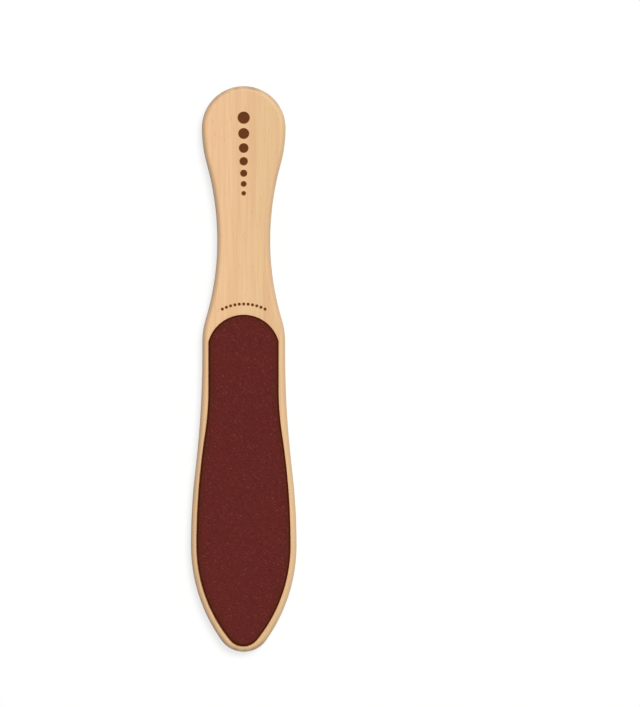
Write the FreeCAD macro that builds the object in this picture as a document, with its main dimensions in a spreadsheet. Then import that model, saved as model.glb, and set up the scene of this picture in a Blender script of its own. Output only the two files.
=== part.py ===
# Double-sided wooden foot file: a flat beech paddle with a sheet of coated abrasive glued to each face of
# its blade.
#
# The frame: +Y runs from the tip of the blade to the butt of the handle, +X to the right, and +Z up, out of
# the coarse face. The origin is under the middle of the file, on the surface that it lies on with its fine
# side down. Every size is in millimetres.
import FreeCAD
import Part
import Sketcher

import enum
import math
import os

# The driving dimensions: alias in the sheet, millimetres, what it sets.
SIZES = (
    ("butt_radius", 19.6, "round end of the handle"),
    ("butt_to_waist", 72.5, "from the butt end to the narrowest place of the handle"),
    ("taper_length", 17.0, "outward curve of the handle, from its widest place to where it bends inward"),
    ("waist_width", 24.8, "narrowest place of the handle"),
    ("neck_length", 47.3, "from the waist to the shoulder line"),
    ("shoulder_length", 10.5, "outward curve of the shoulder, above the shoulder line"),
    ("shoulder_width", 38.8, "top of the blade"),
    ("flank_length", 5.0, "straight sides below the shoulder line"),
    ("flare_length", 90.2, "from the straight sides to the widest place of the blade"),
    ("flare_turn", 55.0, "hollow curve of the flare, from the straight sides to where it turns full"),
    ("blade_width", 49.5, "widest place of the blade"),
    ("belly_to_tip", 50.0, "from the widest place to the tip"),
    ("tip_radius", 12.8, "round tip of the blade"),
    ("board_thickness", 6.0, "the wood, without the sheets"),
    ("edge_round", 2.4, "rounded edges of the board"),
    ("flat_border", 0.35, "flat wood that shows between the rounded edge and a sheet's belly and tip"),
    ("flank_border", 0.6, "flat wood that shows between the rounded edge and a sheet's straight side"),
    ("arch_drop", 4.3, "from the shoulder line down to the centre of the sheets' round top"),
    ("arch_swell", 0.6, "by how much the round top's radius exceeds half of the sheets' straight width"),
    ("sheet_flank_length", 21.5, "from the shoulder line down to the end of the sheets' straight sides"),
    ("sheet_flare_turn", 22.0, "hollow curve of the sheets' flare, below their straight sides"),
    ("sheet_tip_radius", 8.2, "round tip of the sheets"),
    ("glue_thickness", 0.15, "film of glue under each sheet"),
    ("paper_thickness", 0.4, "heavy backing paper of each sheet"),
    ("coarse_grit_thickness", 0.4, "resin and grains on the coarse side"),
    ("fine_grit_thickness", 0.3, "resin and grains on the fine side"),
)

# A rounded edge takes at most this share of the board, so that some of the wall stays.
ROUND_SHARE = 0.45

# Sizes that follow from the sheet, as formulas. A name in angle brackets is a cell.
HALF_LENGTH = "((<butt_to_waist> + <neck_length> + <flank_length> + <flare_length> + <belly_to_tip>) / 2)"
ROUNDING = f"min(<edge_round>; {ROUND_SHARE} * <board_thickness>)"
INSET = f"({ROUNDING} + <flat_border>)"
SHEET_HALF_TOP = f"(<shoulder_width> / 2 - {ROUNDING} - <flank_border>)"
SHEET_FLARE = "(<flank_length> + <flare_length> - <sheet_flank_length>)"

# What lies on each face of the board, from the wood outwards: a layer, and the cell with its thickness.
COARSE_LAYERS = (
    ("coarse_glue_film", "glue_thickness"),
    ("coarse_backing_paper", "paper_thickness"),
    ("coarse_grit_coat", "coarse_grit_thickness"),
)
FINE_LAYERS = (
    ("fine_glue_film", "glue_thickness"),
    ("fine_backing_paper", "paper_thickness"),
    ("fine_grit_coat", "fine_grit_thickness"),
)

# An edge that rises less than this lies flat.
LEVEL = 1e-6


class Point(enum.IntEnum):
    """The points of an edge in a sketch."""

    START = 1
    END = 2
    CENTRE = 3


class Axis(enum.IntEnum):
    """A sketch's own axes. They start at its origin."""

    ACROSS = -1
    ALONG = -2


ORIGIN = (Axis.ACROSS, Point.START)


def make_sheet(doc):
    """Makes the spreadsheet of driving dimensions. Returns the same numbers by name."""
    sheet = doc.addObject("Spreadsheet::Sheet", "Sizes")
    for row, (alias, millimetres, meaning) in enumerate(SIZES, start=1):
        sheet.set(f"A{row}", meaning)
        sheet.set(f"B{row}", str(millimetres))
        sheet.setAlias(f"B{row}", alias)
    doc.recompute()
    return {alias: float(sheet.get(alias)) for alias, _, _ in SIZES}


def in_cells(formula):
    """The formula with its names in angle brackets turned into cells of the sheet."""
    return formula.replace("<", "Sizes.").replace(">", "")


def rounding(size):
    """The radius of the board's rounded edges."""
    return min(size["edge_round"], ROUND_SHARE * size["board_thickness"])


def stations(size):
    """Where the outline changes along Y, from the butt end down to the tip end."""
    steps = (
        ("waist", "butt_to_waist"),
        ("shoulder", "neck_length"),
        ("flank_end", "flank_length"),
        ("belly", "flare_length"),
        ("tip_end", "belly_to_tip"),
    )
    y = sum(size[length] for _, length in steps) / 2
    places = {"butt_end": y}
    for place, length in steps:
        y -= size[length]
        places[place] = y
    return places


def first_point(edge):
    number, first, _ = edge
    return number, first


def last_point(edge):
    number, _, last = edge
    return number, last


class Outline:
    """Half an outline in a sketch: a chain of arcs and lines, from the butt side to the tip.

    An edge of the chain is kept as its number in the sketch, its first point and its last point.
    """

    def __init__(self, body, name):
        self.sketch = body.newObject("Sketcher::SketchObject", name)
        planes = {plane.Role: plane for plane in body.Origin.OriginFeatures}
        self.sketch.AttachmentSupport = (planes["XY_Plane"], "")
        self.sketch.MapMode = "FlatFace"
        self.here = None
        self.edge_before = None

    def start(self, x, y):
        self.here = FreeCAD.Vector(x, y, 0)

    def join(self, shape, first, last, joint="Tangent"):
        """Adds an edge that leaves the one before it without a corner, unless the joint is Coincident."""
        number = self.sketch.addGeometry(shape, False)
        if self.edge_before is not None:
            self.rule(joint, *last_point(self.edge_before), number, first)
        self.edge_before = (number, first, last)
        return self.edge_before

    def line(self, x, y, joint="Tangent"):
        goal = FreeCAD.Vector(x, y, 0)
        shape = Part.LineSegment(self.here, goal)
        self.here = goal
        return self.join(shape, Point.START, Point.END, joint)

    def arc(self, centre_x, centre_y, x, y):
        """An arc about the centre to x, y, the short way round."""
        centre = FreeCAD.Vector(centre_x, centre_y, 0)
        goal = FreeCAD.Vector(x, y, 0)
        leaving = self.here - centre
        arriving = goal - centre
        leaving_angle = math.atan2(leaving.y, leaving.x)
        arriving_angle = math.atan2(arriving.y, arriving.x)
        circle = Part.Circle(centre, FreeCAD.Vector(0, 0, 1), leaving.Length)
        self.here = goal
        if leaving.cross(arriving).z > 0:
            shape = Part.ArcOfCircle(circle, leaving_angle, arriving_angle)
            return self.join(shape, Point.START, Point.END)
        shape = Part.ArcOfCircle(circle, arriving_angle, leaving_angle)
        return self.join(shape, Point.END, Point.START)

    def double_arc(self, x, y, turn_y):
        """Two arcs that leave and arrive along Y and bend opposite ways. The bend changes at turn_y."""
        across = x - self.here.x
        along = y - self.here.y
        share = (turn_y - self.here.y) / along
        radii = (across**2 + along**2) / (2 * across)
        turn_x = self.here.x + across * share
        first = self.arc(self.here.x + radii * share, self.here.y, turn_x, turn_y)
        second = self.arc(x - radii * (1 - share), y, x, y)
        return first, second

    def blunt_end(self, to_tip, tip_radius):
        """A belly arc that leaves along Y and runs into a round tip, which ends on the axis."""
        half_width = self.here.x
        belly_y = self.here.y
        to_centre = to_tip - tip_radius
        belly_radius = (to_centre**2 + half_width**2 - tip_radius**2) / (2 * (half_width - tip_radius))
        belly_centre = FreeCAD.Vector(half_width - belly_radius, belly_y, 0)
        tip_centre = FreeCAD.Vector(0, belly_y - to_centre, 0)
        meet = tip_centre + (tip_centre - belly_centre).normalize() * tip_radius
        self.arc(belly_centre.x, belly_centre.y, meet.x, meet.y)
        return self.arc(tip_centre.x, tip_centre.y, 0, belly_y - to_tip)

    def close(self, first_edge, last_edge):
        """The straight edge on the axis of symmetry, from the chain's end back to its start."""
        low = last_point(last_edge)
        high = first_point(first_edge)
        shape = Part.LineSegment(self.sketch.getPoint(*low), self.sketch.getPoint(*high))
        number = self.sketch.addGeometry(shape, False)
        self.rule("Coincident", number, Point.START, *low)
        self.rule("Coincident", number, Point.END, *high)

    def rule(self, kind, *where):
        self.sketch.addConstraint(Sketcher.Constraint(kind, *where))

    def on_axis(self, *point):
        self.rule("PointOnObject", *point, Axis.ALONG)

    def arrives_along_y(self, *edges):
        """Each arc's centre is level with its last point."""
        for edge in edges:
            self.rule("Horizontal", edge[0], Point.CENTRE, *last_point(edge))

    def size(self, name, kind, where, value, formula):
        """A dimension with a name, bound to the sheet."""
        number = self.sketch.addConstraint(Sketcher.Constraint(kind, *where, value))
        self.sketch.renameConstraint(number, name)
        self.sketch.setExpression(f"Constraints.{name}", in_cells(formula))

    def half_width(self, name, point, formula):
        """How far a point lies to the right of the axis."""
        self.size(name, "DistanceX", (*ORIGIN, *point), self.sketch.getPoint(*point).x, formula)

    def length(self, name, low, high, formula):
        """How far one point lies above another."""
        rise = self.sketch.getPoint(*high).y - self.sketch.getPoint(*low).y
        self.size(name, "DistanceY", (*low, *high), rise, formula)

    def radius(self, name, edge, formula):
        self.size(name, "Radius", (edge[0],), self.sketch.Geometry[edge[0]].Radius, formula)


def paddle_outline(body, size):
    """Half of the board: round butt, waisted neck, shoulder, straight flank, flaring blade, blunt tip."""
    at = stations(size)
    butt_y = at["butt_end"] - size["butt_radius"]
    taper_turn = butt_y - size["taper_length"]
    shoulder_turn = at["shoulder"] + size["shoulder_length"]
    flare_turn = at["flank_end"] - size["flare_turn"]
    half_shoulder = size["shoulder_width"] / 2

    outline = Outline(body, "PaddleOutline")
    outline.start(0, at["butt_end"])
    butt = outline.arc(0, butt_y, size["butt_radius"], butt_y)
    taper, neck = outline.double_arc(size["waist_width"] / 2, at["waist"], taper_turn)
    sweep, shoulder = outline.double_arc(half_shoulder, at["shoulder"], shoulder_turn)
    flank = outline.line(half_shoulder, at["flank_end"])
    flare, side = outline.double_arc(size["blade_width"] / 2, at["belly"], flare_turn)
    tip = outline.blunt_end(size["belly_to_tip"], size["tip_radius"])
    outline.close(butt, tip)

    outline.on_axis(*first_point(butt))
    outline.on_axis(butt[0], Point.CENTRE)
    outline.on_axis(tip[0], Point.CENTRE)
    outline.rule("Symmetric", *first_point(butt), *last_point(tip), *ORIGIN)
    outline.arrives_along_y(butt, neck, shoulder, side)
    outline.radius("butt_radius", butt, "<butt_radius>")
    outline.radius("tip_radius", tip, "<tip_radius>")
    outline.half_width("half_waist", last_point(neck), "<waist_width> / 2")
    outline.half_width("half_shoulder", last_point(shoulder), "<shoulder_width> / 2")
    outline.half_width("half_blade", last_point(side), "<blade_width> / 2")
    outline.length("butt_to_waist", last_point(neck), first_point(butt), "<butt_to_waist>")
    outline.length("taper_length", last_point(taper), last_point(butt), "<taper_length>")
    outline.length("neck_length", last_point(shoulder), last_point(neck), "<neck_length>")
    outline.length("shoulder_length", last_point(shoulder), last_point(sweep), "<shoulder_length>")
    outline.length("flank_length", last_point(flank), last_point(shoulder), "<flank_length>")
    outline.length("flare_length", last_point(side), last_point(flank), "<flare_length>")
    outline.length("flare_turn", last_point(flare), last_point(flank), "<flare_turn>")
    outline.length("belly_to_tip", last_point(tip), last_point(side), "<belly_to_tip>")
    return outline.sketch


def sheet_outline(body, size):
    """Half of a sheet, inside the board's edges: round arch, slight corner, straight flank, flare, tip."""
    at = stations(size)
    margin = rounding(size) + size["flat_border"]
    half_top = size["shoulder_width"] / 2 - rounding(size) - size["flank_border"]
    half_belly = size["blade_width"] / 2 - margin
    arch_y = at["shoulder"] - size["arch_drop"]
    arch_radius = half_top + size["arch_swell"]
    corner_y = arch_y + math.sqrt(arch_radius**2 - half_top**2)
    flank_end = at["shoulder"] - size["sheet_flank_length"]

    outline = Outline(body, "SheetOutline")
    outline.start(0, arch_y + arch_radius)
    arch = outline.arc(0, arch_y, half_top, corner_y)
    flank = outline.line(half_top, flank_end, joint="Coincident")
    flare, side = outline.double_arc(half_belly, at["belly"], flank_end - size["sheet_flare_turn"])
    tip = outline.blunt_end(size["belly_to_tip"] - margin, size["sheet_tip_radius"])
    outline.close(arch, tip)

    outline.on_axis(*first_point(arch))
    outline.on_axis(arch[0], Point.CENTRE)
    outline.on_axis(*last_point(tip))
    outline.on_axis(tip[0], Point.CENTRE)
    outline.rule("Vertical", flank[0])
    outline.arrives_along_y(side)
    outline.radius("arch_radius", arch, f"{SHEET_HALF_TOP} + <arch_swell>")
    outline.radius("tip_radius", tip, "<sheet_tip_radius>")
    outline.half_width("half_top", last_point(arch), SHEET_HALF_TOP)
    outline.half_width("half_belly", last_point(side), f"<blade_width> / 2 - {INSET}")
    arch_centre = (arch[0], Point.CENTRE)
    outline.length("arch_height", last_point(flank), arch_centre, "<sheet_flank_length> - <arch_drop>")
    outline.length("flare_length", last_point(side), last_point(flank), SHEET_FLARE)
    outline.length("flare_turn", last_point(flare), last_point(flank), "<sheet_flare_turn>")
    outline.length("belly_to_tip", last_point(tip), last_point(side), f"<belly_to_tip> - {INSET}")
    outline.length("tip_to_middle", last_point(tip), ORIGIN, f"{HALF_LENGTH} - {INSET}")
    return outline.sketch


def thicken(body, sketch, thickness):
    """Pads half an outline to its thickness and mirrors it about the axis of symmetry."""
    pad = body.newObject("PartDesign::Pad", "Thickness")
    pad.Profile = sketch
    pad.setExpression("Length", in_cells(thickness))
    body.Document.recompute()
    whole = body.newObject("PartDesign::Mirrored", "BothHalves")
    whole.Originals = [pad]
    whole.MirrorPlane = (sketch, ["V_Axis"])
    body.Tip = whole
    body.Document.recompute()
    return whole


def level_edges(shape):
    """The names of the edges that lie flat: the rims of the top and bottom faces."""
    edges = enumerate(shape.Edges, start=1)
    return [f"Edge{number}" for number, edge in edges if edge.BoundBox.ZLength < LEVEL]


def new_body(doc, label, height):
    """An empty body, lifted to its height above the surface that the file lies on."""
    body = doc.addObject("PartDesign::Body", label)
    body.Label = label
    body.setExpression("Placement.Base.z", in_cells(height))
    return body


def make_paddle(doc, size, height):
    """The board: one piece of wood, sawn to its outline, with its edges rounded over."""
    body = new_body(doc, "paddle", height)
    board = thicken(body, paddle_outline(body, size), "<board_thickness>")
    rounded = body.newObject("PartDesign::Fillet", "RoundedEdges")
    rounded.Base = (board, level_edges(board.Shape))
    rounded.setExpression("Radius", in_cells(ROUNDING))
    body.Tip = rounded
    return body


def make_layer(doc, size, label, thickness, height):
    """One layer of an abrasive sheet, lying flat at its height."""
    body = new_body(doc, label, height)
    thicken(body, sheet_outline(body, size), thickness)
    return body


def make_file(doc):
    """Every piece of the file, stacked from the fine side up. Each piece lies on what is below it."""
    size = make_sheet(doc)
    bodies = []
    height = "0"
    for label, cell in reversed(FINE_LAYERS):
        bodies.append(make_layer(doc, size, label, f"<{cell}>", height))
        height += f" + <{cell}>"
    bodies.append(make_paddle(doc, size, height))
    height += " + <board_thickness>"
    for label, cell in COARSE_LAYERS:
        bodies.append(make_layer(doc, size, label, f"<{cell}>", height))
        height += f" + <{cell}>"
    doc.recompute()
    return bodies


def check(doc, bodies):
    """Stops before anything is written if an object failed or a piece isn't one sound solid."""
    for item in doc.Objects:
        if "Invalid" in item.State or "Error" in item.State:
            raise RuntimeError(f"{item.Label} failed: {item.State}")
    for body in bodies:
        shape = body.Shape
        if shape.isNull() or not shape.isValid() or len(shape.Solids) != 1:
            raise RuntimeError(f"{body.Label} isn't one sound solid")


def write(bodies):
    """Writes each piece to its own STEP file and prints what it measures."""
    os.makedirs("parts", exist_ok=True)
    for body in bodies:
        body.Shape.exportStep(os.path.join("parts", f"{body.Label}.step"))
        box = body.Shape.optimalBoundingBox()
        print(
            f"{body.Label}: {box.XLength:.2f} x {box.YLength:.2f} x {box.ZLength:.2f} mm"
            f" from z {box.ZMin:.2f}, {body.Shape.Volume:.1f} mm3"
        )


document = FreeCAD.newDocument("FootFile")
pieces = make_file(document)
check(document, pieces)
write(pieces)
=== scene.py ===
import math

import bmesh
import bpy
from bpy.props import FloatProperty, FloatVectorProperty, IntProperty, PointerProperty
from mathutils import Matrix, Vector
from mathutils.bvhtree import BVHTree


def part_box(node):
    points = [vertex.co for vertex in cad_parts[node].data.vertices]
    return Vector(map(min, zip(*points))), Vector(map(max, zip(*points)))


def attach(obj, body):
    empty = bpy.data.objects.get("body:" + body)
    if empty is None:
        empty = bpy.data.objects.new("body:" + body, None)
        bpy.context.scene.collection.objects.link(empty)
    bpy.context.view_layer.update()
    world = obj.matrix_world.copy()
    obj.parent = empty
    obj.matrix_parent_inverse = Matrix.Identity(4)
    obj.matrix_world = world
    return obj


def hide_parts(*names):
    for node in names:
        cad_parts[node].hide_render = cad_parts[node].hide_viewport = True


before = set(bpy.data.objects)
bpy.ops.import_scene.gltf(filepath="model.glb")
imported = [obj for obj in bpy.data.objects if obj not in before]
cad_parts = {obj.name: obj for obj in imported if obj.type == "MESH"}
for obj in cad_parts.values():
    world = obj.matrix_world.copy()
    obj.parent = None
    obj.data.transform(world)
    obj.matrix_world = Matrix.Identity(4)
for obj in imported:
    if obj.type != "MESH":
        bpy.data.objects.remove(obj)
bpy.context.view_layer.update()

bl_info = {
    "name": "Wooden Foot File",
    "version": (1, 0, 0),
    "blender": (4, 5, 0),
    "location": "View3D > Sidebar > Foot File",
    "description": "Models a double-sided wooden foot file over its packed solids",
    "category": "Add Mesh",
}

MM = 0.001

# The picture's frame, and where the file lies in it, in pixels.
PICTURE_WIDTH = 640
PICTURE_HEIGHT = 707
AXIS_COLUMN = 243.75
BUTT_ROW = 86.2
TIP_ROW = 651.7

# Sockets of a Mix node: how much of B is mixed in, then the two numbers and the mixed number, and the two
# colours and the mixed colour.
MIX_SHARE = 0
MIX_NUMBER_A = 2
MIX_NUMBER_B = 3
MIX_NUMBER = 0
MIX_COLOUR_A = 6
MIX_COLOUR_B = 7
MIX_COLOUR = 2

WHITE = (1, 1, 1, 1)

# Corners and heights that differ by less than this are the same.
TOUCH = 0.001 * MM
# A cutting shape passes by this much the faces that it must not share with the piece. Corners that a cut
# leaves closer than this are merged.
SKIN = 0.02 * MM
# Steps of an outline that turn by less than this make one straight side.
STRAIGHT_TURN = math.radians(0.3)
# An edge of an outline that is longer than this is a straight side, and not a step round a curve.
STRAIGHT_SIDE = 12 * MM
# Cuts in each step round a curve, which smooth it.
CURVE_CUTS = 3
# A face whose normal rises or falls by less than this is a wall.
WALL_RISE = 0.5
# Faces that meet at less than this angle are shaded as one surface.
SMOOTH_ANGLE = math.radians(25)

# Material slots of the board and of the grit coats, after the first slot, which holds wood or grains.
CHAR_SLOT = 1
SINGE_SLOT = 2
RIM_SLOT = 1

# The ways that the two sheets face.
UP = 1
DOWN = -1

# Width of a grain in the coats' material, in spacings of the grains' corners.
GRAIN_PITCHES = 1.5

# Attribute of a grit coat's mesh: 0 at the sheet's edge, rising to 1 where the soaked border ends.
INWARD = "inward"


def linear(hex_colour):
    """An sRGB hex colour as the linear RGBA that colour sockets hold."""
    channels = [int(hex_colour[place:place + 2], 16) / 255 for place in (0, 2, 4)]
    curve = [value / 12.92 if value <= 0.04045 else ((value + 0.055) / 1.055) ** 2.4 for value in channels]
    return (*curve, 1.0)


def length(name, description, millimetres):
    """A property that holds a length."""
    return FloatProperty(
        name=name, description=description, default=millimetres * MM, unit="LENGTH", precision=6
    )


def angle(name, description, degrees):
    """A property that holds an angle."""
    return FloatProperty(name=name, description=description, default=math.radians(degrees), subtype="ANGLE")


def share(name, description, default):
    """A property that holds a share of something."""
    return FloatProperty(
        name=name, description=description, default=default, min=0, max=1, subtype="FACTOR"
    )


def strength(name, description, default):
    """A property that holds how strong a light is."""
    return FloatProperty(name=name, description=description, default=default, min=0)


def count(name, description, default, least=0):
    """A property that holds a whole number."""
    return IntProperty(name=name, description=description, default=default, min=least)


def colour(name, description, hex_colour):
    """A property that holds a colour."""
    return FloatVectorProperty(
        name=name,
        description=description,
        default=linear(hex_colour),
        subtype="COLOR",
        size=4,
        min=0,
        max=1,
    )


class BoardSettings(bpy.types.PropertyGroup):
    """Sizes and colours of the wooden board."""

    edge_round: length("Edge round", "Radius of the board's rounded edges", 2.4)
    edge_steps: count("Edge steps", "Faces across each rounded edge", 10, least=2)
    flat_hem: length("Flat hem", "Narrow flat ring that keeps the shading of the flat faces true", 0.25)
    pink: colour("Pink tone", "Ground colour of the wood on the left", "eec091")
    straw: colour("Straw tone", "Ground colour of the wood on the right", "deb885")
    tone_width: length("Tone width", "How wide the change from pink to straw is", 26)
    band: colour("Growth bands", "Late wood of the growth rings", "d9aa7a")
    fibre: colour("Fibres", "Fine streaks along the grain", "c99c6e")
    fleck: colour("Ray flecks", "Short brown flecks along the grain", "b17f51")
    # Painted shade: the grey-brown that the rounded edges turn to as they face sideways, in place of shade.
    edge: colour("Edges", "Rounded edges, where the lacquer has soaked in", "c9aa89")
    end_grain: colour("End grain", "Wood cut across its fibres", "cfb391")
    end_ring: colour("End rings", "Late wood and pores, cut across, which drink the most lacquer", "a5835e")
    ring_tilt: angle("Ring tilt", "How far the growth rings lean in the board", 28)


class MarkSettings(bpy.types.PropertyGroup):
    """Sizes and colours of the dots that are burnt into the handle's coarse side."""

    column_count: count("Column dots", "Dots along the handle", 7, least=1)
    column_start: length("Column start", "From the butt end to the edge of the first dot", 12.0)
    column_gap: length("Column gap", "Bare wood between two dots of the column", 1.9)
    largest: length("Largest dot", "Diameter of the dot nearest the butt", 5.8)
    smallest: length("Smallest dot", "Diameter of the last dot", 2.2)
    arc_count: count("Arc dots", "Dots along the arc above the sheet", 11, least=2)
    arc_dot: length("Arc dot", "Diameter of the dots of the arc", 1.5)
    arc_gap: length("Arc gap", "From the sheet's round top up to the arc", 5.0)
    arch_radius: length("Arch radius", "Radius of the sheet's round top", 17.0)
    arc_span: angle("Arc span", "Angle between the arc's end dots", 54)
    depth: length("Burn depth", "How deep the dots are pressed into the wood", 0.22)
    slope: length("Burn slope", "Width of a dot's sloping side", 0.2)
    sides: count("Dot sides", "Sides of each dot", 28, least=8)
    char: colour("Char", "Floor of a burnt dot", "65320b")
    singe: colour("Singe", "Sloping side of a burnt dot", "935f2e")


class SheetSettings(bpy.types.PropertyGroup):
    """Sizes and colours of the abrasive sheets. The grains are coarser than real ones, so they show."""

    coarse_pitch: length("Coarse pitch", "Spacing of the corners of the coarse grains", 0.42)
    coarse_relief: length("Coarse relief", "How far coarse grains stand out of the resin", 0.095)
    coarse_seed: count("Coarse seed", "Seed of the coarse grains' places; plus 1, of their heights", 10)
    fine_pitch: length("Fine pitch", "Spacing of the corners of the fine grains", 0.35)
    fine_relief: length("Fine relief", "How far fine grains stand out of the resin", 0.055)
    fine_seed: count("Fine seed", "Seed of the fine grains' places; plus 1, of their heights", 20)
    jitter: share("Scatter", "Scatter of the grains' corners, as a share of their spacing", 0.22)
    rim_width: length("Rim width", "Crushed border of a sheet, where the die cut it", 1.2)
    rim_drop: length("Rim drop", "How far the crushed border slopes down", 0.06)
    soak_width: length("Soak width", "How far in from a sheet's edge the glue has darkened it", 3.4)
    coarse_grain: colour("Coarse grain", "Grains of the coarse sheet", "661f1a")
    fine_grain: colour("Fine grain", "Grains of the fine sheet", "6e2922")
    resin: colour("Resin", "Resin between the grains", "4f1813")
    crushed: colour("Crushed rim", "Crushed resin round a sheet's border", "481500")
    soaked: colour("Soaked border", "Grains near a sheet's edge, soaked with glue", "501c07")
    paper: colour("Backing paper", "Cut edge of the backing paper", "582e1b")
    glue: colour("Glue", "Dried glue at a sheet's edge", "b1844b")


class StageSettings(bpy.types.PropertyGroup):
    """Floor, light and camera."""

    floor: colour("Floor", "Pale paper under the file, as it lights the file", "d2d2d0")
    floor_size: length("Floor size", "Side of the floor", 6000)
    floor_glow: share("Floor glow", "Share of plain white in what the camera sees of the floor", 0.75)
    sky: strength("Even light", "Strength of the light from all round", 0.24)
    sun: strength("Sun", "Strength of the soft sun", 2.75)
    sun_angle: angle("Sun angle", "How wide the soft sun is", 30)
    sun_from: FloatVectorProperty(
        name="Sun from",
        description="Where the soft sun shines from",
        default=(0.35, 0.45, 1.0),
        subtype="DIRECTION",
    )
    camera_height: length("Camera height", "From the middle of the board up to the camera", 2500)


def add_node(tree, kind, sockets=None, **options):
    """Adds a node, sets its options, and gives its sockets values or links from other nodes' outputs."""
    node = tree.nodes.new(kind)
    for option, value in options.items():
        setattr(node, option, value)
    for socket, value in (sockets or {}).items():
        if isinstance(value, bpy.types.NodeSocket):
            tree.links.new(value, node.inputs[socket])
        else:
            node.inputs[socket].default_value = value
    return node


def new_material(name):
    """A material with a bare Principled shader: the material, its tree and the shader."""
    material = bpy.data.materials.new(name)
    material.use_nodes = True
    return material, material.node_tree, material.node_tree.nodes["Principled BSDF"]


def shades(tint, spread):
    """A colour made darker, and made lighter, by a share of itself."""
    return [(*(part * scale for part in tint[:3]), 1.0) for scale in (1 - spread, 1 + spread)]


def beech(board):
    """Steamed beech, planed, sanded and wiped with a thin matt lacquer."""
    # To the eye: a pale ground that drifts from pink to straw, faint straight bands and fibres along the
    # handle, short brown ray flecks, painted shade that greys and darkens the rounded edges, growth rings
    # cut across in the darker end grain at the butt and the tip, and a dull sheen.
    material, tree, shader = new_material("Beech, sanded and matt lacquered")
    place = add_node(tree, "ShaderNodeTexCoord")

    # Each pattern's size across, along and through the board, in millimetres, and its finer layers. Real
    # pores are about 0.1 mm wide and too fine to show, so the fibres are drawn about five times as wide.
    patterns = {
        "cloud": (9, 60, 9, 1),
        "band": (3.2, 130, 18, 2),
        "fibre": (0.55, 26, 0.55, 3),
    }
    figure = {}
    for name, (across, along, through, detail) in patterns.items():
        stretch = add_node(
            tree,
            "ShaderNodeMapping",
            {
                "Vector": place.outputs["Object"],
                "Scale": (across * MM, along * MM, through * MM),
                "Rotation": (0, board.ring_tilt, 0),
            },
            vector_type="TEXTURE",
        )
        noise = add_node(
            tree,
            "ShaderNodeTexNoise",
            {"Vector": stretch.outputs[0], "Scale": 1.0, "Detail": detail},
        )
        figure[name] = noise.outputs["Fac"]

    # A fleck sits in a little over half the cells of a lattice, and ends a fifth of a cell from its middle.
    fleck_cell = (1.1 * MM, 7 * MM, 1.1 * MM)
    fleck_end = 0.2
    fleck_core = 0.1
    bare_cells = 0.45
    cells = add_node(
        tree,
        "ShaderNodeMapping",
        {"Vector": place.outputs["Object"], "Scale": fleck_cell},
        vector_type="TEXTURE",
    )
    lattice = add_node(tree, "ShaderNodeTexVoronoi", {"Vector": cells.outputs[0], "Scale": 1.0})
    near = add_node(
        tree,
        "ShaderNodeMapRange",
        {"Value": lattice.outputs["Distance"], "From Min": fleck_end, "From Max": fleck_core},
    )
    chance = add_node(tree, "ShaderNodeSeparateColor", {"Color": lattice.outputs["Color"]})
    shown = add_node(
        tree, "ShaderNodeMath", {0: chance.outputs["Red"], 1: bare_cells}, operation="GREATER_THAN"
    )
    fleck = add_node(
        tree, "ShaderNodeMath", {0: near.outputs[0], 1: shown.outputs[0]}, operation="MULTIPLY"
    )

    # Squares of the normal's parts: Z tells flat faces from rounded edges, and Y tells ends from sides.
    normal = add_node(tree, "ShaderNodeSeparateXYZ", {"Vector": place.outputs["Normal"]})
    squares = {}
    for axis in "YZ":
        part = normal.outputs[axis]
        square = add_node(tree, "ShaderNodeMath", {0: part, 1: part}, operation="MULTIPLY")
        squares[axis] = square.outputs[0]

    # The ground drifts from pink to straw across the board, with broad clouds in it.
    cloud_share = 0.35
    reach = board.tone_width / 2
    point = add_node(tree, "ShaderNodeSeparateXYZ", {"Vector": place.outputs["Object"]})
    drift = add_node(
        tree, "ShaderNodeMapRange", {"Value": point.outputs["X"], "From Min": -reach, "From Max": reach}
    )
    tone = add_node(
        tree,
        "ShaderNodeMix",
        {MIX_SHARE: cloud_share, MIX_NUMBER_A: drift.outputs[0], MIX_NUMBER_B: figure["cloud"]},
        data_type="FLOAT",
    )
    ground = add_node(
        tree,
        "ShaderNodeMix",
        {MIX_SHARE: tone.outputs[MIX_NUMBER], MIX_COLOUR_A: board.pink, MIX_COLOUR_B: board.straw},
        data_type="RGBA",
    ).outputs[MIX_COLOUR]

    # At the ends, the late wood and the pores drink the most lacquer.
    fibre_share = 0.3
    pores = add_node(
        tree,
        "ShaderNodeMath",
        {0: figure["fibre"], 1: fibre_share, 2: figure["band"]},
        operation="MULTIPLY_ADD",
    )
    thirst = add_node(
        tree, "ShaderNodeMapRange", {"Value": pores.outputs[0], "From Min": 0.55, "From Max": 0.85}
    )
    end = add_node(
        tree,
        "ShaderNodeMix",
        {MIX_SHARE: thirst.outputs[0], MIX_COLOUR_A: board.end_grain, MIX_COLOUR_B: board.end_ring},
        data_type="RGBA",
    ).outputs[MIX_COLOUR]

    # Each layer: its mask, the mask's values where it begins and is full, its share when full, its colour.
    layers = (
        (figure["band"], 0.45, 0.75, 0.7, board.band),
        (figure["fibre"], 0.45, 0.8, 0.45, board.fibre),
        (fleck.outputs[0], 0.0, 1.0, 0.3, board.fleck),
        # Painted shade: the rounded edges, on both faces, turn greyer and darker the more they face
        # sideways.
        (squares["Z"], 1.0, 0.8, 0.5, board.edge),
        (squares["Y"], 0.02, 0.35, 0.7, end),
    )
    for mask, begin, full, most, tint in layers:
        cover = add_node(
            tree, "ShaderNodeMapRange", {"Value": mask, "From Min": begin, "From Max": full, "To Max": most}
        )
        ground = add_node(
            tree,
            "ShaderNodeMix",
            {MIX_SHARE: cover.outputs[0], MIX_COLOUR_A: ground, MIX_COLOUR_B: tint},
            data_type="RGBA",
        ).outputs[MIX_COLOUR]
    tree.links.new(ground, shader.inputs["Base Color"])

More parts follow.
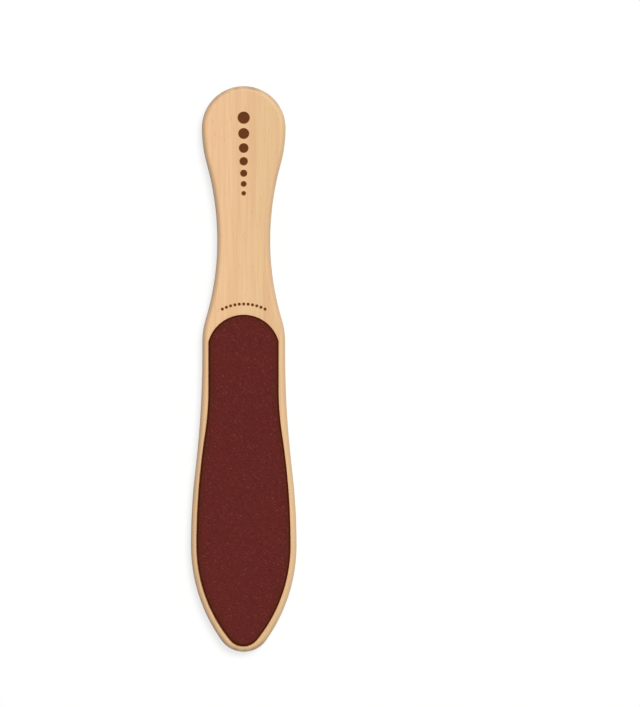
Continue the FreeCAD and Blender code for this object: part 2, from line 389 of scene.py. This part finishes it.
    sheen = add_node(
        tree, "ShaderNodeMapRange", {"Value": figure["fibre"], "To Min": 0.46, "To Max": 0.62}
    )
    tree.links.new(sheen.outputs[0], shader.inputs["Roughness"])
    relief = add_node(
        tree, "ShaderNodeMath", {0: figure["fibre"], 1: fleck.outputs[0]}, operation="SUBTRACT"
    )
    bump = add_node(
        tree, "ShaderNodeBump", {"Height": relief.outputs[0], "Strength": 0.3, "Distance": 0.04 * MM}
    )
    tree.links.new(bump.outputs[0], shader.inputs["Normal"])
    return material


def abrasive(name, grain_size, grain, sheets):
    """Coated abrasive: crushed mineral grains in two coats of red resin."""
    # To the eye: a dull dark red, each grain a little lighter or darker than its neighbours, with darker
    # resin between them, a few glints, broad faint clouds where the coat is thicker, and a browner border
    # where glue has soaked in from the edge. Real grains are 0.1 to 0.2 mm wide and too fine to show, so
    # they are drawn three to four times as wide.
    grain_spread = 0.08
    grain_height = 0.1 * grain_size
    cloud_size = 9 * MM
    material, tree, shader = new_material(name)
    place = add_node(tree, "ShaderNodeTexCoord")
    cells = add_node(
        tree, "ShaderNodeTexVoronoi", {"Vector": place.outputs["Object"], "Scale": 1 / grain_size}
    )
    chance = add_node(tree, "ShaderNodeSeparateColor", {"Color": cells.outputs["Color"]})
    dark, light = shades(grain, grain_spread)
    grains = add_node(
        tree,
        "ShaderNodeMix",
        {MIX_SHARE: chance.outputs["Red"], MIX_COLOUR_A: dark, MIX_COLOUR_B: light},
        data_type="RGBA",
    )
    gaps = add_node(
        tree,
        "ShaderNodeMapRange",
        {"Value": cells.outputs["Distance"], "From Min": 0.35, "From Max": 0.75, "To Max": 0.7},
    )
    cloud = add_node(
        tree,
        "ShaderNodeTexNoise",
        {"Vector": place.outputs["Object"], "Scale": 1 / cloud_size, "Detail": 2},
    )
    thick = add_node(
        tree,
        "ShaderNodeMapRange",
        {"Value": cloud.outputs["Fac"], "From Min": 0.3, "From Max": 0.7, "To Max": 0.25},
    )
    coat = grains.outputs[MIX_COLOUR]
    for cover in (gaps, thick):
        coat = add_node(
            tree,
            "ShaderNodeMix",
            {MIX_SHARE: cover.outputs[0], MIX_COLOUR_A: coat, MIX_COLOUR_B: sheets.resin},
            data_type="RGBA",
        ).outputs[MIX_COLOUR]
    inward = add_node(tree, "ShaderNodeAttribute", attribute_name=INWARD)
    bordered = add_node(
        tree,
        "ShaderNodeMix",
        {MIX_SHARE: inward.outputs["Fac"], MIX_COLOUR_A: sheets.soaked, MIX_COLOUR_B: coat},
        data_type="RGBA",
    )
    tree.links.new(bordered.outputs[MIX_COLOUR], shader.inputs["Base Color"])

    glint = add_node(
        tree,
        "ShaderNodeMapRange",
        {
            "Value": chance.outputs["Green"],
            "From Min": 0.85,
            "From Max": 1.0,
            "To Min": 0.85,
            "To Max": 0.45,
        },
    )
    tree.links.new(glint.outputs[0], shader.inputs["Roughness"])
    shader.inputs["Specular IOR Level"].default_value = 0.2
    bump = add_node(
        tree,
        "ShaderNodeBump",
        {"Height": cells.outputs["Distance"], "Strength": 0.4, "Distance": grain_height},
        invert=True,
    )
    tree.links.new(bump.outputs[0], shader.inputs["Normal"])
    return material


def mottled(name, tint, spread, pattern, relief, bumpiness, roughness, gloss):
    """A material whose shade drifts by a share of itself. Its pattern and relief are in millimetres."""
    material, tree, shader = new_material(name)
    place = add_node(tree, "ShaderNodeTexCoord")
    stretch = add_node(
        tree,
        "ShaderNodeMapping",
        {"Vector": place.outputs["Object"], "Scale": [size * MM for size in pattern]},
        vector_type="TEXTURE",
    )
    noise = add_node(tree, "ShaderNodeTexNoise", {"Vector": stretch.outputs[0], "Scale": 1.0, "Detail": 3})
    dark, light = shades(tint, spread)
    drift = add_node(
        tree,
        "ShaderNodeMix",
        {MIX_SHARE: noise.outputs["Fac"], MIX_COLOUR_A: dark, MIX_COLOUR_B: light},
        data_type="RGBA",
    )
    tree.links.new(drift.outputs[MIX_COLOUR], shader.inputs["Base Color"])
    shader.inputs["Roughness"].default_value = roughness
    shader.inputs["Specular IOR Level"].default_value = gloss
    bump = add_node(
        tree,
        "ShaderNodeBump",
        {"Height": noise.outputs["Fac"], "Strength": bumpiness, "Distance": relief * MM},
    )
    tree.links.new(bump.outputs[0], shader.inputs["Normal"])
    return material


def burnt_beech(name, tint):
    """Beech scorched by a hot stamp."""
    # To the eye: dull brown, with the fibres still showing as lighter and darker lines.
    return mottled(
        name,
        tint,
        spread=0.4,
        pattern=(0.3, 2.5, 0.3),
        relief=0.05,
        bumpiness=0.5,
        roughness=0.8,
        gloss=0.2,
    )


def crushed_resin(tint):
    """Abrasive resin that the cutting die has crushed."""
    # To the eye: a dull, dark brown line with hardly any shine.
    return mottled(
        "Abrasive resin, crushed by the die",
        tint,
        spread=0.3,
        pattern=(0.8, 0.8, 0.8),
        relief=0.16,
        bumpiness=0.4,
        roughness=0.7,
        gloss=0.05,
    )


def kraft_paper(tint):
    """Heavy kraft paper soaked in resin."""
    # To the eye: a dull brown cut edge, felted with fibres.
    return mottled(
        "Kraft paper, resin-filled",
        tint,
        spread=0.3,
        pattern=(0.5, 0.5, 0.5),
        relief=0.1,
        bumpiness=0.4,
        roughness=0.85,
        gloss=0.3,
    )


def contact_glue(tint):
    """Contact glue, brushed on and dried."""
    # To the eye: an amber line with a soft shine.
    return mottled(
        "Contact glue, dried",
        tint,
        spread=0.3,
        pattern=(1.5, 1.5, 1.5),
        relief=0.3,
        bumpiness=0.4,
        roughness=0.4,
        gloss=0.5,
    )


def select_only(piece):
    """Makes a piece the only one that is selected, and the active one."""
    bpy.ops.object.select_all(action="DESELECT")
    piece.select_set(True)
    bpy.context.view_layer.objects.active = piece


def pick(kind, test):
    """In edit mode, selects only the verts, edges or faces that pass a test. Returns how many there are."""
    modes = {"verts": "VERT", "edges": "EDGE", "faces": "FACE"}
    bpy.ops.mesh.select_mode(type=modes[kind])
    bpy.ops.mesh.select_all(action="DESELECT")
    mesh = bpy.context.edit_object.data
    shape = bmesh.from_edit_mesh(mesh)
    found = [element for element in getattr(shape, kind) if test(element)]
    for element in found:
        element.select_set(True)
    shape.select_flush_mode()
    bmesh.update_edit_mesh(mesh)
    return len(found)


def level(*heights):
    """A test for corners, edges and faces that lie flat at one of the heights."""

    def lies_level(element):
        corners = element.verts if hasattr(element, "verts") else [element]
        return any(all(abs(corner.co.z - height) < TOUCH for corner in corners) for height in heights)

    return lies_level


def reaches(height):
    """A test for faces that have a corner at a height."""
    at_height = level(height)
    return lambda face: any(at_height(corner) for corner in face.verts)


def is_wall(face):
    """Tells an upright face from a flat or gently sloping one."""
    return abs(face.normal.z) < WALL_RISE


def give(piece, *materials):
    """Gives a piece one slot for each material."""
    for material in materials:
        piece.data.materials.append(material)


def paint(piece, slot, test):
    """In edit mode, gives the faces that pass a test the material of a slot."""
    pick("faces", test)
    piece.active_material_index = slot
    bpy.ops.object.material_slot_assign()


def check_closed(piece):
    """Stops the script if a finished piece has an open or doubled edge."""
    shape = bmesh.new()
    shape.from_mesh(piece.data)
    loose = sum(not edge.is_manifold for edge in shape.edges)
    shape.free()
    if loose:
        raise RuntimeError(f"{piece.name} has {loose} open edges")


def cut(piece, tool, operation):
    """Applies a boolean of the piece and a tool, and removes the tool."""
    modifier = piece.modifiers.new("Cut", "BOOLEAN")
    modifier.operation = operation
    modifier.solver = "EXACT"
    modifier.object = tool
    select_only(piece)
    bpy.ops.object.modifier_apply(modifier=modifier.name)
    bpy.data.objects.remove(tool)


def outline_prism(node, name, low, high):
    """A new object, active in edit mode: a node's smoothed outline as a closed slab between two heights."""
    bottom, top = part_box(node)
    middle = (bottom.z + top.z) / 2
    piece = bpy.data.objects.new(name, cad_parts[node].data.copy())
    piece.data.materials.clear()
    bpy.context.scene.collection.objects.link(piece)
    select_only(piece)
    bpy.ops.mesh.customdata_custom_splitnormals_clear()

    bpy.ops.object.mode_set(mode="EDIT")
    bpy.ops.mesh.select_all(action="SELECT")
    bpy.ops.mesh.remove_doubles(threshold=TOUCH)
    bpy.ops.mesh.bisect(plane_co=(0, 0, middle), plane_no=(0, 0, 1), clear_inner=True, clear_outer=True)
    if not pick("edges", level(middle)):
        raise RuntimeError(f"{node} has no outline at its middle height")
    bpy.ops.mesh.dissolve_limited(angle_limit=STRAIGHT_TURN)
    bpy.ops.mesh.select_all(action="SELECT")
    bpy.ops.transform.translate(value=(0, 0, low - middle))
    bpy.ops.mesh.extrude_region_move(TRANSFORM_OT_translate={"value": (0, 0, high - low)})
    bpy.ops.mesh.select_all(action="SELECT")
    bpy.ops.mesh.normals_make_consistent(inside=False)

    pick("edges", lambda edge: edge.calc_length() < STRAIGHT_SIDE and level(low, high)(edge))
    bpy.ops.mesh.subdivide(number_cuts=CURVE_CUTS, smoothness=1.0)
    for height in (low, high):
        pick("edges", level(height))
        bpy.ops.mesh.edge_face_add()
    bpy.ops.mesh.select_all(action="SELECT")
    bpy.ops.mesh.normals_make_consistent(inside=False)
    return piece


def dot_places(marks):
    """Centre and diameter of each burnt dot: a column that shrinks from the butt, an arc over the sheet."""
    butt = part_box("paddle")[1].y
    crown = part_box("coarse_grit_coat")[1].y
    places = []
    edge = butt - marks.column_start
    last = max(marks.column_count - 1, 1)
    for number in range(marks.column_count):
        diameter = marks.largest + (marks.smallest - marks.largest) * (number / last)
        places.append((0, edge - diameter / 2, diameter))
        edge -= diameter + marks.column_gap
    centre = crown - marks.arch_radius
    radius = marks.arch_radius + marks.arc_gap
    for number in range(marks.arc_count):
        turn = marks.arc_span * (number / (marks.arc_count - 1) - 0.5)
        places.append((radius * math.sin(turn), centre + radius * math.cos(turn), marks.arc_dot))
    return places


def dot_punches(marks, face):
    """One object with a blunt cone over each dot, as deep as the burn and as far above the face."""
    bpy.ops.object.select_all(action="DESELECT")
    punches = []
    for x, y, diameter in dot_places(marks):
        bpy.ops.mesh.primitive_cone_add(
            vertices=marks.sides,
            radius1=diameter / 2 - marks.slope,
            radius2=diameter / 2 + marks.slope,
            depth=2 * marks.depth,
            location=(x, y, face),
        )
        punches.append(bpy.context.object)
    for punch in punches:
        punch.select_set(True)
    bpy.ops.object.join()
    bpy.ops.object.transform_apply(location=True, rotation=True, scale=True)
    return bpy.context.object


class FOOTFILE_OT_board(bpy.types.Operator):
    """Model the wooden board with its rounded edges and burnt dots"""

    bl_idname = "foot_file.board"
    bl_label = "Board"

    def execute(self, context):
        board = context.scene.foot_file_board
        marks = context.scene.foot_file_marks
        low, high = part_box("paddle")
        piece = outline_prism("paddle", "beech_board", low.z, high.z)
        pick("edges", level(low.z, high.z))
        bpy.ops.mesh.bevel(offset=board.edge_round, segments=board.edge_steps, affect="EDGES")
        pick("faces", level(low.z, high.z))
        bpy.ops.mesh.inset(thickness=board.flat_hem)
        bpy.ops.object.mode_set(mode="OBJECT")
        cut(piece, dot_punches(marks, high.z), "DIFFERENCE")

        charred = burnt_beech("Beech, charred", marks.char)
        singed = burnt_beech("Beech, singed", marks.singe)
        give(piece, beech(board), charred, singed)
        floor = high.z - marks.depth
        bpy.ops.object.mode_set(mode="EDIT")
        paint(piece, SINGE_SLOT, reaches(floor))
        paint(piece, CHAR_SLOT, level(floor))

        # Faces with many corners, such as the flat ones round the dots, are split into triangles.
        pick("faces", lambda face: len(face.verts) > 4)
        bpy.ops.mesh.quads_convert_to_tris(ngon_method="BEAUTY")
        bpy.ops.object.mode_set(mode="OBJECT")
        bpy.ops.object.shade_smooth_by_angle(angle=SMOOTH_ANGLE)

        check_closed(piece)
        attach(piece, "root")
        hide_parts("paddle")
        return {"FINISHED"}


def walls(piece):
    """The walls of a slab, as a tree that finds the nearest one to a point."""
    corners = [vertex.co.copy() for vertex in piece.data.vertices]
    upright = [tuple(face.vertices) for face in piece.data.polygons if is_wall(face)]
    return BVHTree.FromPolygons(corners, upright)


def distance_in(border, point):
    """How far a point lies in from a sheet's border, given as a tree of its walls."""
    *_, distance = border.find_nearest(point)
    return distance


def note_inward(piece, border, reach):
    """Stores how far each corner of a piece lies in from a border, as a share of the reach."""
    shares = [min(distance_in(border, vertex.co) / reach, 1.0) for vertex in piece.data.vertices]
    piece.data.attributes.new(INWARD, "FLOAT", "POINT").data.foreach_set("value", shares)


def rimmed_outline(node, name, face, back, ground, out, sheets, materials):
    """A slab to trim the grains to: a sheet's outline, its face clear of the ground, its rim sloping."""
    tool = outline_prism(node, name, min(face, back), max(face, back))
    pick("faces", level(face))
    bpy.ops.mesh.inset(thickness=sheets.rim_width)
    bpy.ops.transform.translate(value=(0, 0, ground + out * SKIN - face))
    rim = ground - out * sheets.rim_drop
    pick("verts", level(face))
    bpy.ops.transform.translate(value=(0, 0, rim - face))
    give(tool, *materials)
    paint(tool, RIM_SLOT, lambda side: reaches(rim)(side) and not is_wall(side))
    bpy.ops.object.mode_set(mode="OBJECT")
    return tool


def grain_slab(name, low, high, ground, bottom, pitch):
    """A slab with a fine grid on its face at the ground, one pitch wider all round than the sheet's box."""
    size = high - low
    centre = (low + high) / 2
    bpy.ops.object.select_all(action="DESELECT")
    bpy.ops.mesh.primitive_grid_add(
        x_subdivisions=round(size.x / pitch) + 2,
        y_subdivisions=round(size.y / pitch) + 2,
        size=1,
        location=(centre.x, centre.y, ground),
    )
    piece = bpy.context.object
    piece.name = name
    piece.data.name = name
    piece.scale = (size.x + 2 * pitch, size.y + 2 * pitch, 1)
    bpy.ops.object.transform_apply(location=True, rotation=True, scale=True)
    bpy.ops.object.mode_set(mode="EDIT")
    pick("edges", lambda edge: edge.is_boundary)
    bpy.ops.mesh.extrude_region_move(TRANSFORM_OT_translate={"value": (0, 0, bottom - ground)})
    bpy.ops.mesh.edge_face_add()
    bpy.ops.mesh.select_all(action="SELECT")
    bpy.ops.mesh.normals_make_consistent(inside=False)
    bpy.ops.object.mode_set(mode="OBJECT")
    return piece


def grit_coat(side, out, pitch, relief, seed, sheets, materials):
    """A coat of grains on the coarse or the fine sheet, on the side of it that out points to."""
    node = f"{side}_grit_coat"
    name = f"{side}_grains"
    low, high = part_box(node)
    face, back = (high.z, low.z) if out == UP else (low.z, high.z)
    jitter = sheets.jitter * pitch

    # The grains rise from the ground and sink below it, and none of them rises past the flat solid.
    ground = face - out * (relief + jitter)
    if out * (ground - back) < relief + jitter:
        raise RuntimeError(f"the pits between the grains of {name} would go through the coat")
    tool = rimmed_outline(node, f"{name}_outline", face, back, ground, out, sheets, materials)
    border = walls(tool)
    piece = grain_slab(name, low, high, ground, back - out * SKIN, pitch)
    give(piece, *materials)
    cut(piece, tool, "INTERSECT")

    def stands_free(corner):
        return level(ground)(corner) and distance_in(border, corner.co) > sheets.rim_width

    # The cut numbers its corners anew in each run. Sorted by their distance from one end, they merge and
    # move in the same order every time.
    bpy.context.scene.cursor.location = low
    bpy.ops.object.mode_set(mode="EDIT")
    bpy.ops.mesh.select_all(action="SELECT")
    bpy.ops.mesh.sort_elements(type="CURSOR_DISTANCE", elements={"VERT"})
    bpy.ops.mesh.remove_doubles(threshold=SKIN)
    pick("verts", stands_free)
    bpy.ops.transform.vertex_random(offset=jitter, uniform=0.0, normal=0.0, seed=seed)
    bpy.ops.transform.vertex_random(offset=relief, uniform=0.0, normal=1.0, seed=seed + 1)
    bpy.ops.mesh.select_all(action="SELECT")
    bpy.ops.mesh.quads_convert_to_tris(quad_method="SHORTEST_DIAGONAL", ngon_method="BEAUTY")
    bpy.ops.object.mode_set(mode="OBJECT")
    bpy.ops.object.shade_flat()
    note_inward(piece, border, sheets.soak_width)
    check_closed(piece)
    return piece


class FOOTFILE_OT_grit_coats(bpy.types.Operator):
    """Model the grains of the coarse and the fine sheet"""

    bl_idname = "foot_file.grit_coats"
    bl_label = "Grit coats"

    def execute(self, context):
        sheets = context.scene.foot_file_sheets
        crushed = crushed_resin(sheets.crushed)
        coarse = (sheets.coarse_pitch, sheets.coarse_relief, sheets.coarse_seed, sheets.coarse_grain)
        fine = (sheets.fine_pitch, sheets.fine_relief, sheets.fine_seed, sheets.fine_grain)
        for side, out, (pitch, relief, seed, grain) in (("coarse", UP, coarse), ("fine", DOWN, fine)):
            coat = abrasive(f"Coated abrasive, {side}, red resin", GRAIN_PITCHES * pitch, grain, sheets)
            piece = grit_coat(side, out, pitch, relief, seed, sheets, (coat, crushed))
            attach(piece, "root")
            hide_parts(f"{side}_grit_coat")
        return {"FINISHED"}


class FOOTFILE_OT_sheet_layers(bpy.types.Operator):
    """Finish the backing paper and the glue under both grit coats"""

    bl_idname = "foot_file.sheet_layers"
    bl_label = "Backing paper and glue"

    def execute(self, context):
        sheets = context.scene.foot_file_sheets
        layers = {"backing_paper": kraft_paper(sheets.paper), "glue_film": contact_glue(sheets.glue)}
        for side in ("coarse", "fine"):
            for layer, material in layers.items():
                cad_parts[f"{side}_{layer}"].material_slots[0].material = material
        return {"FINISHED"}


def seen(tree):
    """An output that is 1 on rays that reach the eye, also by way of gloss or glass, and 0 on others."""
    path = add_node(tree, "ShaderNodeLightPath")
    ray = path.outputs["Is Camera Ray"]
    for other in ("Is Glossy Ray", "Is Transmission Ray"):
        either = add_node(tree, "ShaderNodeMath", {0: ray, 1: path.outputs[other]}, operation="MAXIMUM")
        ray = either.outputs[0]
    return ray


class FOOTFILE_OT_stage(bpy.types.Operator):
    """Set up the floor, the light and the camera"""

    bl_idname = "foot_file.stage"
    bl_label = "Stage"

    def execute(self, context):
        stage = context.scene.foot_file_stage
        context.scene.view_settings.view_transform = "Standard"
        self.lay_floor(stage)
        self.light(context, stage)
        self.place_camera(context, stage)
        return {"FINISHED"}

    def lay_floor(self, stage):
        """A sheet of pale paper that the eye sees as white, apart from the file's soft shadow."""
        bpy.ops.object.select_all(action="DESELECT")
        bpy.ops.mesh.primitive_plane_add(size=stage.floor_size, location=(0, 0, 0))
        floor = bpy.context.object
        floor.name = "floor"
        material, tree, shader = new_material("Seamless paper, white")
        shader.inputs["Roughness"].default_value = 0.9
        looked_at = seen(tree)
        paper = add_node(
            tree,
            "ShaderNodeMix",
            {MIX_SHARE: looked_at, MIX_COLOUR_A: stage.floor, MIX_COLOUR_B: WHITE},
            data_type="RGBA",
        )
        tree.links.new(paper.outputs[MIX_COLOUR], shader.inputs["Base Color"])
        white = add_node(tree, "ShaderNodeEmission", {"Color": WHITE, "Strength": 1.0})
        glow = add_node(tree, "ShaderNodeMath", {0: looked_at, 1: stage.floor_glow}, operation="MULTIPLY")
        surface = add_node(
            tree,
            "ShaderNodeMixShader",
            {0: glow.outputs[0], 1: shader.outputs[0], 2: white.outputs[0]},
        )
        tree.links.new(surface.outputs[0], tree.nodes["Material Output"].inputs["Surface"])
        give(floor, material)

    def light(self, context, stage):
        """Even light from all round, which the eye sees as white, and one soft sun."""
        world = bpy.data.worlds.new("Even studio light")
        world.use_nodes = True
        context.scene.world = world
        tree = world.node_tree
        even = tree.nodes["Background"]
        even.inputs["Color"].default_value = WHITE
        even.inputs["Strength"].default_value = stage.sky
        white = add_node(tree, "ShaderNodeBackground", {"Color": WHITE, "Strength": 1.0})
        surface = add_node(
            tree, "ShaderNodeMixShader", {0: seen(tree), 1: even.outputs[0], 2: white.outputs[0]}
        )
        tree.links.new(surface.outputs[0], tree.nodes["World Output"].inputs["Surface"])

        turn = (-Vector(stage.sun_from)).to_track_quat("-Z", "Y").to_euler()
        bpy.ops.object.light_add(type="SUN", location=stage.sun_from, rotation=turn)
        sun = bpy.context.object
        sun.name = "sun"
        sun.data.energy = stage.sun
        sun.data.angle = stage.sun_angle

    def place_camera(self, context, stage):
        """A camera far above, looking straight down, that puts the file at its place in the picture."""
        low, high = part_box("paddle")
        scale = (high.y - low.y) / (TIP_ROW - BUTT_ROW)
        across = (PICTURE_WIDTH / 2 - AXIS_COLUMN) * scale
        along = ((BUTT_ROW + TIP_ROW) / 2 - PICTURE_HEIGHT / 2) * scale
        height = (low.z + high.z) / 2 + stage.camera_height
        bpy.ops.object.camera_add(location=(across, along, height), rotation=(0, 0, 0))
        camera = bpy.context.object
        camera.name = "camera"
        camera.data.lens = camera.data.sensor_width * stage.camera_height / (PICTURE_HEIGHT * scale)
        context.scene.camera = camera


class FOOTFILE_PT_build(bpy.types.Panel):
    """Steps that build the foot file, and their settings"""

    bl_idname = "FOOTFILE_PT_build"
    bl_label = "Foot File"
    bl_space_type = "VIEW_3D"
    bl_region_type = "UI"
    bl_category = "Foot File"

    def draw(self, context):
        for operator in OPERATORS:
            self.layout.operator(operator.bl_idname)
        for name, group in SETTINGS.items():
            box = self.layout.box()
            for setting in group.__annotations__:
                box.prop(getattr(context.scene, name), setting)


SETTINGS = {
    "foot_file_board": BoardSettings,
    "foot_file_marks": MarkSettings,
    "foot_file_sheets": SheetSettings,
    "foot_file_stage": StageSettings,
}
OPERATORS = (FOOTFILE_OT_board, FOOTFILE_OT_grit_coats, FOOTFILE_OT_sheet_layers, FOOTFILE_OT_stage)
CLASSES = (*SETTINGS.values(), *OPERATORS, FOOTFILE_PT_build)


def register():
    """Adds the classes, and a group of settings for each kind of piece to the scene."""
    for item in CLASSES:
        bpy.utils.register_class(item)
    for name, settings in SETTINGS.items():
        setattr(bpy.types.Scene, name, PointerProperty(type=settings))


def unregister():
    """Takes the settings and the classes away again."""
    for name in SETTINGS:
        delattr(bpy.types.Scene, name)
    for item in reversed(CLASSES):
        bpy.utils.unregister_class(item)


def main():
    """Builds the file and its stage."""
    register()
    bpy.ops.foot_file.board()
    bpy.ops.foot_file.grit_coats()
    bpy.ops.foot_file.sheet_layers()
    bpy.ops.foot_file.stage()


if __name__ == "__main__":
    main()
